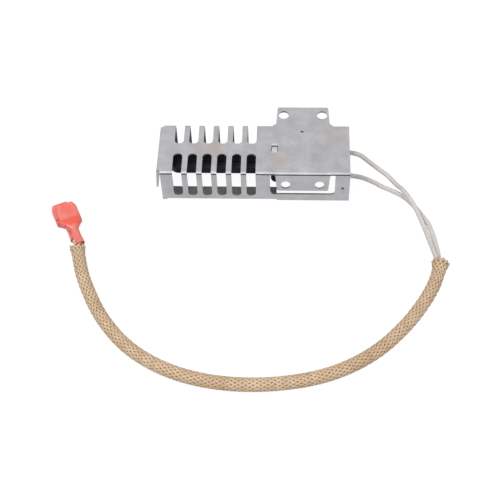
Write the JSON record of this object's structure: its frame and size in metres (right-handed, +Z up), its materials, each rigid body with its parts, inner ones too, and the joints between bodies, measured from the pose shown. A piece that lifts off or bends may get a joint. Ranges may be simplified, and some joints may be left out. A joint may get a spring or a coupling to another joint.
{
  "type": "hot surface igniter",
  "caption": "Flat silicon carbide igniter in a slotted folded steel guard with two mounting tabs, a sleeved pair of leads and insulated push-on terminals.",
  "frame": {"origin": "on the floor, under the middle of the guard with its two tabs", "axes": "+X along the guard towards the end that the leads come out of, +Y towards the flat rear tab, +Z up from the open underside to the top plate"},
  "size_m": [0.1927, 0.1558, 0.0203],
  "materials": {
    "guard_steel": "aluminised sheet steel, dull satin grey, as rolled and folded",
    "silicon_carbide": "recrystallised silicon carbide, black and slightly sparkling",
    "steatite": "unglazed pressed steatite, cream and dull",
    "cement": "cast ceramic cement, chalky",
    "contact_nickel": "nickel strip, rolled",
    "lead_braid": "off-white glass fibre braid",
    "sleeve_braid": "tan varnished glass fibre braid",
    "red_nylon": "translucent red moulded nylon",
    "tinned_brass": "tinned strip, rolled"
  },
  "bodies": {
    "root": {"guard": "guard_steel", "element": "silicon_carbide", "base_block": "steatite", "cement": "cement", "contact_front": "contact_nickel", "contact_rear": "contact_nickel", "lead_front": "lead_braid", "lead_rear": "lead_braid", "sleeve": "sleeve_braid", "terminal_housing_front": "red_nylon", "terminal_housing_rear": "red_nylon", "receptacle_front": "tinned_brass", "receptacle_rear": "tinned_brass"}
  },
  "joints": []
}
